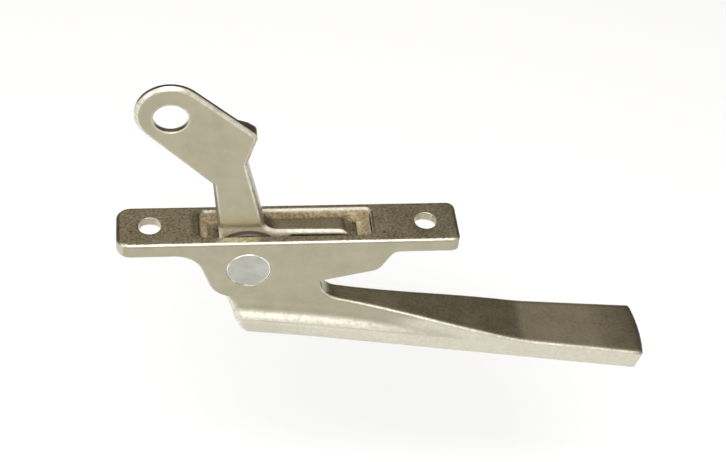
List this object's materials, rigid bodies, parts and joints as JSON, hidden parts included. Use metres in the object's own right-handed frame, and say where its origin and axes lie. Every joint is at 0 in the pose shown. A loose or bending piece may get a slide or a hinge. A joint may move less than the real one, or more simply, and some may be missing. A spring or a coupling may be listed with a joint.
{
  "type": "window locking handle",
  "caption": "Cast window locking handle: oblong slotted base with side cheeks, and a lever on a cross rivet with a broad flared grip below and a thin eye arm above.",
  "frame": {"origin": "middle of the base's mounting face, midway between the two screw holes", "axes": "+Z out of the mounting face towards the frame it is screwed to, +X along the base towards the grip's free end, -Y towards the cheek that faces the viewer"},
  "size_m": [0.1443, 0.0186, 0.0989],
  "materials": {
    "base_metal": "tumbled pale bronze",
    "lever_metal": "tumbled pale bronze",
    "rivet_metal": "satin, ground flush"
  },
  "bodies": {
    "base": {"base_casting": "base_metal", "pivot_rivet": "rivet_metal"},
    "lever": {"lever_casting": "lever_metal"}
  },
  "joints": [
    {"name": "handle_pivot", "type": "hinge", "parent": "base", "child": "lever", "pos_m": [-0.0104, 0, -0.00955], "axis": [0, 1, 0], "range_deg": [0, 70]}
  ]
}
